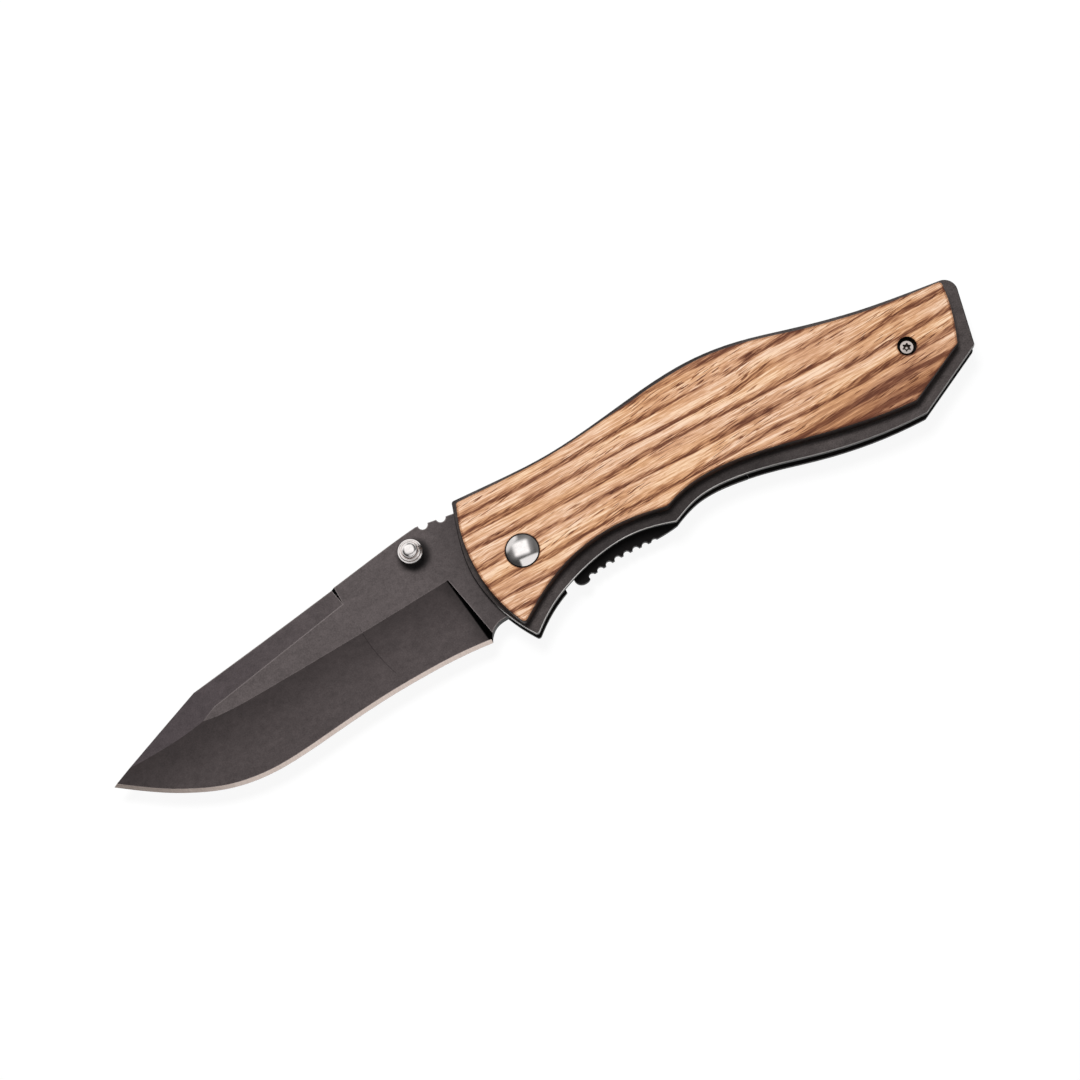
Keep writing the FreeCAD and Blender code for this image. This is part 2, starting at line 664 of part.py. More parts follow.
def make_pin(name, spot, diameter):
    # A plain pin through both liners, flush with their outer faces.
    pin = doc.addObject("Part::Cylinder", name)
    bind(pin, "Radius", f"{diameter} / 2")
    bind(pin, "Height", f"2 * {liner_face}")
    place(pin, *spot, f"-{liner_face}")
    pieces.append(pin)


def make_washer(name, level):
    body = new_body(name)
    sketch = new_sketch(body, f"{name}_ring", level=level)
    draw_circle(sketch, axis, "washer_diameter / 2")
    draw_circle(sketch, axis, "pivot_diameter / 2 + pivot_play")
    add_pad(body, sketch, "washer_thickness")
    place(body)


def make_pivot_barrel():
    # A domed head on a smooth sleeve, bored from behind for the pivot screw.
    body = new_body("pivot_barrel")
    seat = f"({scale_face} - pivot_seat)"
    end = f"(head_play - {seat})"
    rim = f"({scale_face} + pivot_rim)"
    bore, sleeve, head = "pivot_screw_diameter / 2 + screw_play", "pivot_diameter / 2", "pivot_head / 2"
    depth = f"({end} + pivot_screw_reach)"
    crown = f"{rim} + pivot_dome"
    corners = [(bore, depth), (bore, end), (sleeve, end), (sleeve, seat), (head, seat), (head, rim)]
    dome = [corners[-1], (f"{head} * {dome_share}", crown), ("0", crown)]
    floor = ("0", depth)
    runs = [*zip(corners, corners[1:]), dome, (dome[-1], floor), (floor, corners[0])]
    revolve(body, "barrel_section", runs)
    place(body)


def make_thumb_stud():
    # A waisted knob: neck, flange, groove, ring and dome, on a stem that fills the blade's hole.
    body = new_body("thumb_stud")
    stem, bore = "stud_stem / 2", "stud_screw_diameter / 2 + screw_play"
    neck, flange, ring, dome = "stud_neck / 2", "stud_diameter / 2", "stud_ring / 2", "stud_dome / 2"
    end, depth = "-(blade_thickness - head_play)", "-(blade_thickness - stud_screw_reach - head_play)"
    low = "stud_neck_height"
    top = f"({low} + stud_flange_height)"
    crown = f"({top} + stud_ring_height)"
    corners = [(bore, depth), (bore, end), (stem, end), (stem, "0"), (neck, "0"), (neck, low),
               (f"{flange} - stud_bevel", low), (flange, f"{low} + stud_bevel"),
               (flange, f"{top} - stud_bevel"), (f"{flange} - stud_bevel", top),
               (ring, f"{top} - stud_groove"), (ring, f"{crown} - stud_bevel"),
               (f"{ring} - stud_bevel", crown), (dome, f"{crown} - stud_groove"), (dome, crown)]
    peak = f"{crown} + stud_dome_height"
    cap = [corners[-1], (dome, peak), (f"{dome} * {dome_share}", peak), ("0", peak)]
    floor = ("0", depth)
    runs = [*zip(corners, corners[1:]), cap, (cap[-1], floor), (floor, corners[0])]
    revolve(body, "stud_section", runs)
    place(body, *on_blade(stud_share), blade_face)


make_blade()
make_thumb_stud()
stud_screw = make_screw("thumb_stud_screw", "stud_screw_head", "stud_screw_head_height",
                        "stud_screw_diameter", "stud_screw_reach", "stud_socket")
face_down(stud_screw)
place(stud_screw, *on_blade(stud_share), f"-{blade_face}")

make_liner("front_liner", 1)
make_lock_liner()
make_lock_bar()
make_detent_ball()
make_scale("front_scale", 1)
make_scale("rear_scale", -1)
make_spacer()
for spot, share in spacer_pin_shares.items():
    make_pin(f"spacer_pin_{spot}", on_handle(share), "spacer_pin_diameter")
make_pin("stop_pin", at_angle("stop_orbit", "stop_angle"), "stop_diameter")
make_washer("front_washer", f"{blade_face} + washer_play")
make_washer("rear_washer", f"-({blade_face} + washer_play + washer_thickness)")
make_pivot_barrel()
pivot_screw = make_screw("pivot_screw", "pivot_head", "(pivot_seat - head_sink)", "pivot_screw_diameter",
                         "pivot_screw_reach", "pivot_socket")
face_down(pivot_screw)
place(pivot_screw, z=f"pivot_seat - {scale_face}")
tail_reach = f"({scale_face} - tail_seat - {liner_inside} - screw_play)"
for name, side in (("front_tail_screw", 1), ("rear_tail_screw", -1)):
    screw = make_screw(name, "tail_head", "tail_head_height", "tail_screw_diameter", tail_reach,
                       "tail_socket")
    if side < 0:
        face_down(screw)
    place(screw, *on_handle(tail_screw_share), f"{side} * ({scale_face} - tail_seat)")

doc.recompute()
for item in doc.Objects:
    if "Invalid" in item.State or "Error" in item.State:
        raise RuntimeError(f"{item.Name} failed: {item.State}")
for piece in pieces:
    if piece.Shape.isNull() or not piece.Shape.isValid():
        raise RuntimeError(f"{piece.Label} has no valid shape")

os.makedirs("parts", exist_ok=True)
for piece in pieces:
    piece.Shape.exportStep(f"parts/{piece.Label}.step")
print(len(pieces), "pieces written")
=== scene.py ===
import json
import math

import bpy
import numpy as np
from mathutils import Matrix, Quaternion, Vector


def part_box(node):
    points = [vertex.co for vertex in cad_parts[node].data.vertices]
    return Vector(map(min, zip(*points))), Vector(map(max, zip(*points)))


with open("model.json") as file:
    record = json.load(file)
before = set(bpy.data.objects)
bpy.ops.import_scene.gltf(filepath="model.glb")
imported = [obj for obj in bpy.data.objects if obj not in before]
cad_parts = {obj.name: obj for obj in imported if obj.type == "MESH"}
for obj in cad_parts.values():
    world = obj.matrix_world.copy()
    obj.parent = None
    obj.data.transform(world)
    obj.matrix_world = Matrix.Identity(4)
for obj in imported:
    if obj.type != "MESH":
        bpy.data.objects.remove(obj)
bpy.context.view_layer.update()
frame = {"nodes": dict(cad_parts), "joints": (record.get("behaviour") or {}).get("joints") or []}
nodes = frame["nodes"]
millimetre = 0.001
pivot = Vector(frame["joints"][0]["pos_m"])
print("frame loaded:", len(nodes), "nodes")


def inMetres(lengths):
    return [length * millimetre for length in lengths]


def middle(box):
    low, high = box
    return (Vector(low) + Vector(high)) / 2


def paint(red, green, blue):
    # a screen colour, 0 to 255, as the linear colour that renders to it
    return tuple(((part / 255 + 0.055) / 1.055) ** 2.4 for part in (red, green, blue)) + (1.0,)


def link(tree, node, sockets):
    # sets each named socket to a number or colour, or links it to another node's output
    for name, source in sockets.items():
        if isinstance(source, bpy.types.NodeSocket):
            tree.links.new(source, node.inputs[name])
        else:
            node.inputs[name].default_value = source
    return node


def put(tree, kind, sockets, **settings):
    node = tree.nodes.new("ShaderNode" + kind)
    for name, setting in settings.items():
        setattr(node, name, setting)
    return link(tree, node, sockets)


def place(tree, group, **sockets):
    node = tree.nodes.new("ShaderNodeGroup")
    node.node_tree = group
    return link(tree, node, sockets).outputs


def calc(tree, operation, first, second=0.0, third=0.0):
    return put(tree, "Math", {0: first, 1: second, 2: third}, operation=operation).outputs[0]


def times(tree, *factors):
    product = factors[0]
    for factor in factors[1:]:
        product = calc(tree, "MULTIPLY", product, factor)
    return product


def vector(tree, operation, sockets, output="Vector"):
    return put(tree, "VectorMath", sockets, operation=operation).outputs[output]


def split(tree, source):
    return put(tree, "SeparateXYZ", {0: source}).outputs


def coordinate(tree, kind="Object"):
    return tree.nodes.new("ShaderNodeTexCoord").outputs[kind]


def fromPivot(tree):
    # X, Y and Z from the pivot, in millimetres
    offset = vector(tree, "SUBTRACT", {0: coordinate(tree), 1: pivot})
    return split(tree, vector(tree, "SCALE", {0: offset, "Scale": 1 / millimetre}))


def fade(tree, source, low, high):
    # 0 below low, 1 above high and smooth between; low above high turns it round
    sockets = {"Value": source, "From Min": low, "From Max": high}
    return put(tree, "MapRange", sockets, interpolation_type="SMOOTHSTEP").outputs[0]


def window(tree, source, start, full, end, ebb):
    # 1 between full and ebb, and 0 beyond start and end
    return times(tree, fade(tree, source, start, full), fade(tree, source, end, ebb))


def spread(tree, source, low, high):
    # a 0 to 1 value stretched to low and high
    return put(tree, "MapRange", {"Value": source, "To Min": low, "To Max": high}).outputs[0]


def dim(tree, mask, shade):
    # the shade inside the mask and 1 outside it
    return spread(tree, mask, 1.0, shade)


def sway(tree, noise, reach=1.0):
    # noise as a value round 0, as far apart at its ends as the reach says
    return spread(tree, noise, -reach / 2, reach / 2)


def blend(tree, factor, first, second, mode="MIX"):
    # 6 and 7 are a Mix node's two colours, and 2 is the colour that it puts out
    return put(tree, "Mix", {0: factor, 6: first, 7: second}, data_type="RGBA", blend_type=mode).outputs[2]


def shaded(tree, colour, shade):
    grey = put(tree, "CombineColor", {0: shade, 1: shade, 2: shade}).outputs[0]
    return blend(tree, 1.0, colour, grey, "MULTIPLY")


def streaks(tree, position, sizes, detail=2.0, rough=0.5):
    # noise whose blotches are as long along X, Y and Z as the sizes say, in millimetres
    scale = [1 / size for size in inMetres(sizes)]
    stretch = put(tree, "Mapping", {"Vector": position, "Scale": scale}).outputs[0]
    noise = {"Vector": stretch, "Scale": 1.0, "Detail": detail, "Roughness": rough}
    return put(tree, "TexNoise", noise).outputs["Fac"]


def ramp(tree, factor, tones):
    # a colour for each tone from 0 to 1, mixed between the given ones
    node = put(tree, "ValToRGB", {"Fac": factor})
    elements = node.color_ramp.elements
    elements[0].position, elements[0].color = tones[0]
    elements[1].position, elements[1].color = tones[-1]
    for level, colour in tones[1:-1]:
        elements.new(level).color = colour
    return node.outputs["Color"]


def bump(tree, height, strength, reach):
    # the reach is in millimetres
    sockets = {"Height": height, "Strength": strength, "Distance": reach * millimetre}
    return put(tree, "Bump", sockets).outputs[0]


def rayKinds(tree):
    # whether a ray comes from the camera, and whether a mirror or clear surface sent it on
    rays = tree.nodes.new("ShaderNodeLightPath").outputs
    return rays["Is Camera Ray"], calc(tree, "MAXIMUM", rays["Is Glossy Ray"], rays["Is Transmission Ray"])


def newMaterial(name):
    material = bpy.data.materials.new(name)
    material.use_nodes = True
    return material, material.node_tree, material.node_tree.nodes["Principled BSDF"]


def newGroup(name, inputs, outputs):
    # a group, the sockets that it takes in, which start at the values given, and its end node
    group = bpy.data.node_groups.new(name, "ShaderNodeTree")
    for label, setting in inputs.items():
        kind = "NodeSocketFloat" if isinstance(setting, float) else "NodeSocketVector"
        group.interface.new_socket(label, in_out="INPUT", socket_type=kind).default_value = setting
    for label in outputs:
        group.interface.new_socket(label, in_out="OUTPUT", socket_type="NodeSocketFloat")
    return group, group.nodes.new("NodeGroupInput").outputs, group.nodes.new("NodeGroupOutput")


effectSet = {
    "blastNoise": (                # fine, mottled and slow: sizes in millimetres, detail, roughness
        ((0.3, 0.3, 0.3), 3.0, 0.65), ((1.4, 1.1, 1.1), 2.0, 0.5), ((4.5, 3.5, 3.5), 4.0, 0.6),
    ),
    "patchNoise": ((9.0, 6.0, 6.0), 4.0, 0.6),
    "patchEdge": (0.45, 0.7),      # where that noise turns into a handling mark
    "bendEdge": 0.05,              # how much more a ridge has to bend to be fully in the mask
    "bendSamples": 6,
}


def makeFacing():
    # how a surface lies on its piece: Upright is 1 on flats and 0 on walls, Across is its normal along Y
    group, _, end = newGroup("facing", {}, ("Upright", "Across"))
    parts = split(group, coordinate(group, "Normal"))
    link(group, end, {"Upright": calc(group, "ABSOLUTE", parts["Z"]), "Across": parts["Y"]})
    return group


def makeBlastGrain(setting):
    # a bead-blasted skin: fine specks over mottles and slow blotches, as a shade round 1 and a height
    group, start, end = newGroup("blastGrain", {"Speck": 0.0, "Blotch": 0.0}, ("Shade", "Height"))
    position = coordinate(group)
    fine, mottle, slow = [streaks(group, position, *noise) for noise in setting["blastNoise"]]
    speck = times(group, sway(group, fine), start["Speck"])
    blotch = times(group, calc(group, "ADD", sway(group, slow), sway(group, mottle)), start["Blotch"])
    shade = calc(group, "ADD", calc(group, "ADD", speck, blotch), 1.0)
    link(group, end, {"Shade": shade, "Height": fine})
    return group


def makeEdgeBend(setting):
    # 1 on a sharp ridge and 0 a radius away, from how far a rounded normal strays from the true one; it
    # masks the blade's painted ridge highlights and the wood's darker rim
    group, start, end = newGroup("edgeBend", {"Radius": 0.0, "Least": 0.0}, ("Edge",))
    rounded = put(group, "Bevel", {"Radius": start["Radius"]}, samples=setting["bendSamples"]).outputs[0]
    true = group.nodes.new("ShaderNodeNewGeometry").outputs["Normal"]
    stray = vector(group, "DISTANCE", {0: rounded, 1: true}, "Value")
    most = calc(group, "ADD", start["Least"], setting["bendEdge"])
    link(group, end, {"Edge": fade(group, stray, start["Least"], most)})
    return group


def makeTurnedRings():
    # fine rings about an upright axis, as a lathe leaves them, and how far from that axis a point is
    inputs = {"Centre": (0.0, 0.0, 0.0), "Pitch": millimetre}
    group, start, end = newGroup("turnedRings", inputs, ("Height", "Radius"))
    offset = vector(group, "SUBTRACT", {0: coordinate(group), 1: start["Centre"]})
    flat = vector(group, "MULTIPLY", {0: offset, 1: (1.0, 1.0, 0.0)})
    radius = vector(group, "LENGTH", {0: flat}, "Value")
    turns = calc(group, "DIVIDE", radius, start["Pitch"])
    ring = put(group, "TexNoise", {"W": turns, "Scale": 1.0}, noise_dimensions="1D").outputs["Fac"]
    link(group, end, {"Height": ring, "Radius": radius})
    return group


def makeSmudge(setting):
    # handling marks: slow patches, finer where Scale is larger
    group, start, end = newGroup("smudge", {"Scale": 1.0}, ("Patch",))
    scaled = vector(group, "SCALE", {0: coordinate(group), "Scale": start["Scale"]})
    noise = streaks(group, scaled, *setting["patchNoise"])
    link(group, end, {"Patch": fade(group, noise, *setting["patchEdge"])})
    return group


facing = makeFacing()
blastGrain = makeBlastGrain(effectSet)
edgeBend = makeEdgeBend(effectSet)
turnedRings = makeTurnedRings()
smudge = makeSmudge(effectSet)
print("shared effects built")

coatFinish = {                         # what the coats of blade and liners share
    "specular": 0.2,
    "bump": (0.25, 0.03),              # strength, and reach in millimetres
}
bladeFinish = {                        # places are from the pivot, in millimetres
    # the flat, ground and false-edge tones are painted shading of one coat, by how each face leans
    "flat": paint(88, 81, 81),         # the upper flat
    "ground": paint(79, 72, 72),       # the main bevel, low down
    "groundHigh": paint(58, 52, 52),   # and up along its ridge, painted darker as shade
    "groundTip": 0.9,                  # its painted shade by the tip
    "falseEdge": paint(81, 74, 74),    # the ground-back spine
    "falseTip": paint(72, 65, 67),
    "step": paint(3, 3, 3),            # painted shade, near black, where a grind stops
    "bare": paint(240, 224, 216),      # the sharpened edge
    "honed": paint(208, 190, 180),
    "ridgeHighlight": paint(128, 120, 119),     # a painted highlight where two faces meet
    "ridgeRadius": 0.3,
    "ridgeLeast": 0.022,               # the least bend that shows as a ridge
    "ridgeEnd": (-75.0, -70.0),        # it shows no further towards the tip than this
    "ridgeFoot": (-16.3, 2.8),         # the bevel's ridge starts here
    "ridgeSlope": 0.063,
    "hollow": (-1.0, 11.5),            # how far below the ridge the bevel goes from dark to light, painted as a hollow grind's shading
    "plungeFoot": (2.8, -16.3),        # the foot of the wall where the bevel stops, Y before X
    "plungeSlope": -0.146,
    "plungeReach": (3.4, 0.0),         # how far from that wall the coat is painted darker, as shade in the corner
    "plungeShade": 0.62,
    "plungeDark": (0.45, 0.15),        # and where that painted shade is as dark as the grind's stop
    "groundLean": (0.9985, 0.9975),    # how upright each zone's faces are, from the zone before to it
    "falseLean": (0.9955, 0.994),
    "bareLean": (0.975, 0.96, 0.8, 0.86),
    "stepLean": (0.86, 0.8),
    "tipReach": (-22.0, -84.0),        # where the tip's painted shade comes in
    "handleReach": (-21.0, -8.0),      # and where the coat is painted darker towards the handle, as shade
    "handleShade": 0.66,
    "studShadowReach": (4.3, 2.6),          # a painted shadow of the thumb stud: radii about a point beside it
    "studShadowShift": (0.3, -0.45),        # and that point, from the stud's middle
    "studShadowShade": 0.12,
    "scratchFoot": (-36.2, -3.5),      # a hairline across the bevel
    "scratchSlope": -0.21,
    "scratchBow": 0.016,
    "scratchReach": (6.2, 5.58),       # it fades out between these, either way along Y
    "scratchWidth": (0.11, 0.033),     # and between these, either way along X
    "scratchShade": 0.5,
    "scratchDepth": 2.0,               # against the blasted grain's
    "speck": 1.0,                      # how far the shade of fine specks and slow blotches differs
    "blotch": 0.5,
    "honing": (0.25, 3.0, 3.0),        # sizes of the marks along the sharpened edge
    "rough": (0.5, 0.56),              # clean and handled
    "bareRough": -0.15,                # what the sharpened edge adds to it
    "bareMetal": 0.9,
}


def hairline(tree, parts, finish):
    # a bowed line: X strays from a slanted parabola in Y by less than the width
    footX, footY = finish["scratchFoot"]
    rise = calc(tree, "SUBTRACT", parts["Y"], footY)
    slope = calc(tree, "MULTIPLY_ADD", rise, finish["scratchBow"], finish["scratchSlope"])
    across = calc(tree, "SUBTRACT", parts["X"], footX)
    stray = calc(tree, "SUBTRACT", across, times(tree, rise, slope))
    line = fade(tree, calc(tree, "ABSOLUTE", stray), *finish["scratchWidth"])
    return times(tree, line, fade(tree, calc(tree, "ABSOLUTE", rise), *finish["scratchReach"]))


def shortOf(tree, along, across, foot, slope):
    # how far a point falls short, across, of a line that climbs by the slope from its foot
    run = calc(tree, "SUBTRACT", along, foot[0])
    return calc(tree, "SUBTRACT", calc(tree, "MULTIPLY_ADD", run, slope, foot[1]), across)


def makeBladeMaterial(finish):
    # a dark blasted coat, each ground face painted lighter or darker by how it leans, with painted shade
    # up the bevel's ridge, by the tip, towards the handle, at the plunge and as the thumb stud's shadow,
    # painted highlights on the ridges, and the sharpened edge left bare
    material, tree, shader = newMaterial("coatedBlade")
    parts = fromPivot(tree)
    upright = place(tree, facing)["Upright"]
    grain = place(tree, blastGrain, Speck=finish["speck"], Blotch=finish["blotch"])
    patch = place(tree, smudge)["Patch"]
    tip = fade(tree, parts["X"], *finish["tipReach"])
    handle = fade(tree, parts["X"], *finish["handleReach"])
    below = shortOf(tree, parts["X"], parts["Y"], finish["ridgeFoot"], finish["ridgeSlope"])
    aside = shortOf(tree, parts["Y"], parts["X"], finish["plungeFoot"], finish["plungeSlope"])
    lean = fade(tree, upright, *finish["groundLean"])
    # painted shade in the corner by the plunge
    cornerShade = times(tree, lean, fade(tree, aside, *finish["plungeReach"]))
    ground = blend(tree, fade(tree, below, *finish["hollow"]), finish["groundHigh"], finish["ground"])
    ground = shaded(tree, ground, times(tree, dim(tree, cornerShade, finish["plungeShade"]),
                                        dim(tree, tip, finish["groundTip"])))
    falseEdge = blend(tree, tip, finish["falseEdge"], finish["falseTip"])
    colour = blend(tree, lean, finish["flat"], ground)
    colour = blend(tree, fade(tree, upright, *finish["falseLean"]), colour, falseEdge)
    # a painted shadow beside the thumb stud
    spot = middle(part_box("thumb_stud")) + Vector((*finish["studShadowShift"], 0.0)) * millimetre
    studShadow = fade(tree, place(tree, turnedRings, Centre=spot)["Radius"], *inMetres(finish["studShadowReach"]))
    cut = hairline(tree, parts, finish)
    shade = times(tree, grain["Shade"], dim(tree, cut, finish["scratchShade"]),
                  dim(tree, handle, finish["handleShade"]), dim(tree, studShadow, finish["studShadowShade"]))
    # a painted highlight along the ridges
    ridgeHighlight = place(tree, edgeBend, Radius=finish["ridgeRadius"] * millimetre, Least=finish["ridgeLeast"])
    ridgeHighlight = times(tree, ridgeHighlight["Edge"], fade(tree, parts["X"], *finish["ridgeEnd"]))
    # painted shade, as dark as the grind's stop, at the plunge's foot
    foot = times(tree, lean, fade(tree, aside, *finish["plungeDark"]))
    step = calc(tree, "MAXIMUM", fade(tree, upright, *finish["stepLean"]), foot)
    bare = window(tree, upright, *finish["bareLean"])
    honing = streaks(tree, coordinate(tree), finish["honing"])
    colour = blend(tree, ridgeHighlight, shaded(tree, colour, shade), finish["ridgeHighlight"])
    colour = blend(tree, step, colour, finish["step"])
    colour = blend(tree, bare, colour, blend(tree, honing, finish["bare"], finish["honed"]))
    rough = spread(tree, patch, *finish["rough"])
    height = calc(tree, "MULTIPLY_ADD", cut, -finish["scratchDepth"], grain["Height"])
    link(tree, shader, {
        "Base Color": colour,
        "Roughness": calc(tree, "MULTIPLY_ADD", bare, finish["bareRough"], rough),
        "Metallic": calc(tree, "MAXIMUM", times(tree, bare, finish["bareMetal"]), step),
        "Specular IOR Level": coatFinish["specular"],
        "Normal": bump(tree, height, *coatFinish["bump"]),
    })
    return material


linerFinish = {                       # places are from the pivot along X, in millimetres
    "coat": paint(76, 70, 69),
    "dark": paint(17, 14, 13),        # painted shade, near black, on the lock bar, the liner that it is cut from, and the rims
    # painted shade on the liners' walls
    "wall": paint(20, 18, 17),
    "spacerWall": paint(54, 49, 48),
    # the painted highlight on the rims that face the edge side
    "bare": paint(232, 228, 225),
    "bellyShade": 0.55,               # painted shade along the finger grip: how dark the coat is painted there
    "bellyReach": (2.0, 10.0, 66.0, 50.0),
    "frontShade": 0.7,                # and painted shade in front of the wood
    "frontReach": (-4.5, -7.5),
    "rimLean": (0.95, 0.86, 0.35, 0.5),    # how upright the rims and walls are
    "wallLean": (0.5, 0.35),
    "highlightSide": (-0.2, -0.32),      # how far a rim faces the edge side to take the painted highlight
    "highlightReach": (38.0, 62.0),      # where the painted rim highlight weakens towards the tail
    "highlightTail": 0.5,
    "highlightPatch": (0.75, 1.0),       # how strong the painted highlight is where the liner is clean and handled
    "highlightRough": -0.1,
    "highlightMetal": 0.5,
    "rough": (0.5, 0.58),             # clean and handled
    "speck": 1.8,                     # how far the shade of fine specks and slow blotches differs
    "blotch": 0.7,
}
linerPieces = (                       # material, colour of its faces, colour of its walls, pieces
    ("coatedSteel", "coat", "wall", ("front_liner",)),
    ("shadedSteel", "dark", "wall", ("lock_liner", "lock_bar")),
    ("spacerSteel", "coat", "spacerWall", ("back_spacer",)),
)


def makeLinerMaterial(name, finish, coat, wallCoat):
    # a dark blasted coat with a painted highlight on the rims that face the edge side, and painted shade
    # on its other rims, its walls, along the finger grip and in front of the wood
    material, tree, shader = newMaterial(name)
    along = fromPivot(tree)["X"]
    face = place(tree, facing)
    grain = place(tree, blastGrain, Speck=finish["speck"], Blotch=finish["blotch"])
    patch = place(tree, smudge)["Patch"]
    rim = window(tree, face["Upright"], *finish["rimLean"])
    wall = fade(tree, face["Upright"], *finish["wallLean"])
    tail = fade(tree, along, *finish["highlightReach"])
    rimHighlight = times(tree, rim, fade(tree, face["Across"], *finish["highlightSide"]),
                   spread(tree, patch, *finish["highlightPatch"]), dim(tree, tail, finish["highlightTail"]))
    belly = window(tree, along, *finish["bellyReach"])
    front = fade(tree, along, *finish["frontReach"])
    shade = times(tree, grain["Shade"], dim(tree, belly, finish["bellyShade"]),
                  dim(tree, front, finish["frontShade"]))
    colour = shaded(tree, blend(tree, rim, coat, finish["dark"]), shade)
    colour = blend(tree, wall, colour, shaded(tree, wallCoat, grain["Shade"]))
    colour = blend(tree, rimHighlight, colour, finish["bare"])
    rough = spread(tree, patch, *finish["rough"])
    link(tree, shader, {
        "Base Color": colour,
        "Roughness": calc(tree, "MULTIPLY_ADD", rimHighlight, finish["highlightRough"], rough),
        "Metallic": times(tree, rimHighlight, finish["highlightMetal"]),
        "Specular IOR Level": coatFinish["specular"],
        "Normal": bump(tree, grain["Height"], *coatFinish["bump"]),
    })
    return material


woodFinish = {                 # places are from the pivot, in millimetres
    "tones": (                 # from the darkest stripe to the palest wood
        (0.0, paint(90, 52, 38)), (0.12, paint(122, 77, 57)), (0.44, paint(170, 122, 92)),
        (0.65, paint(203, 153, 117)), (0.79, paint(223, 176, 141)), (1.0, paint(249, 218, 192)),
    ),
    "seatShade": paint(16, 11, 9),           # painted shade on the rims of the holes
    "sideDark": (paint(24, 15, 11), paint(66, 42, 30)),   # darker tones of the cut sides
    "sideDarkTones": (0.1, 0.6),
    "sideDarkLean": (0.97, 0.55),
    "warm": (1.0, 0.97, 0.88, 1.0),      # the tint of its warmer patches
    "noise": {                 # each layer's sizes along, across and through the grain, detail, roughness
        "wander": ((46.0, 13.0, 20.0),),
        "jostle": ((34.0, 4.5, 12.0),),
        "fray": ((7.0, 0.7, 2.0),),
        "strength": ((30.0, 2.4, 6.0),),
        "patch": ((30.0, 2.2, 6.0), 3.0),
        "line": ((16.0, 0.42, 2.0), 3.0, 0.6),
        "thread": ((17.0, 0.75, 2.5), 2.0, 0.4),
        "fibre": ((5.0, 0.22, 1.0), 3.0, 0.65),
        "fleck": ((2.2, 0.16, 1.0),),
        "cluster": ((16.0, 3.0, 4.0),),
        "warmth": ((26.0, 5.0, 9.0),),
        "dash": ((4.2, 0.36, 1.5),),
        "pore": ((4.0, 0.26, 1.2), 1.0),
    },
    "edges": {                 # where a layer goes from 0 to 1, for those that are masks
        "strength": (0.3, 0.68),
        "line": (0.64, 0.36),
        "thread": (0.5, 0.62),
        "cluster": (0.46, 0.6),
        "warmth": (0.42, 0.62),
        "dash": (0.42, 0.6),
        "pore": (0.58, 0.64),
    },
    "level": 0.85,             # the tone between the stripes
    "pitch": 3.8,              # stripe to stripe, in millimetres
    "firstStripe": 0.15,       # a stripe's height over the pivot, on the front face
    "rise": 0.026,             # how fast the stripes climb towards the tail
    "drift": 0.3,              # and how they lean through the wood's thickness
    "wander": 3.2,             # how far they stray together
    "jostle": 2.6,             # and each on its own
    "fray": 0.7,               # how ragged they are
    "coreSides": (0.0, 0.13, 0.42, 0.17),    # where a stripe's core starts and ends, in pitches
    "haloSides": (0.0, 0.12, 0.66, 0.2),     # and the dashes about it
    "strength": (0.4, 1.25),   # the weakest and the strongest stripe
    "coreLines": (1.2, 0.5),   # how strong a core is off the fine lines and on them
    "coreDashes": (0.65, 1.0),     # and each layer off the dashes and on them
    "haloDashes": (0.15, 1.0),
    "threadDashes": (0.6, 1.2),
    "coreDepth": 0.8,          # how much each layer moves the tone
    "haloDepth": 0.5,
    "threadDepth": 0.15,
    "patchDepth": 0.6,
    "lineDepth": 0.2,
    "fibreDepth": 0.8,
    "fleckDepth": 0.5,
    "poreDepth": 0.65,
    "borderDepth": 0.35,
    "borderRadius": 0.45,      # how far in from its rim the wood is darker, in millimetres
    "borderLeast": 0.01,
    "darkest": (-0.3, 0.45),   # how dark the stripes can go, between the darkest and palest fibres
    "darkestEase": 0.15,
    "poreTurn": 6.0,           # degrees from the stripes
    "zones": (                 # a dark heart by the tail and a pale zone: middle, reach, depth
        ((78.0, -9.5), (32.0, 8.0), 0.4), ((48.0, 9.5), (30.0, 5.5), -0.05),
    ),
    "zoneEdge": (1.0, 0.4),    # where a zone fades in, as a share of its reach
    "seats": (("pivot_barrel", 3.56), ("front_tail_screw", 1.95)),   # painted shade rims about these, by radius
    "seatEdge": 0.12,
    "rough": (0.44, 0.6),      # the darkest and palest fibres
    "specular": 0.3,
    "bump": (0.35, 0.06),      # strength, and reach in millimetres
}


def woodLayers(tree, position, finish, *names):
    # the named layers of noise, as masks where they have an edge
    layers = []
    for name in names:
        layer = streaks(tree, position, *finish["noise"][name])
        if name in finish["edges"]:
            layer = fade(tree, layer, *finish["edges"][name])
        layers.append(layer)
    return layers


def deepen(tree, tone, finish, **layers):
    # takes each layer from the tone, by the depth that the finish gives for its name
    for name, layer in layers.items():
        tone = calc(tree, "MULTIPLY_ADD", layer, -finish[name + "Depth"], tone)
    return tone


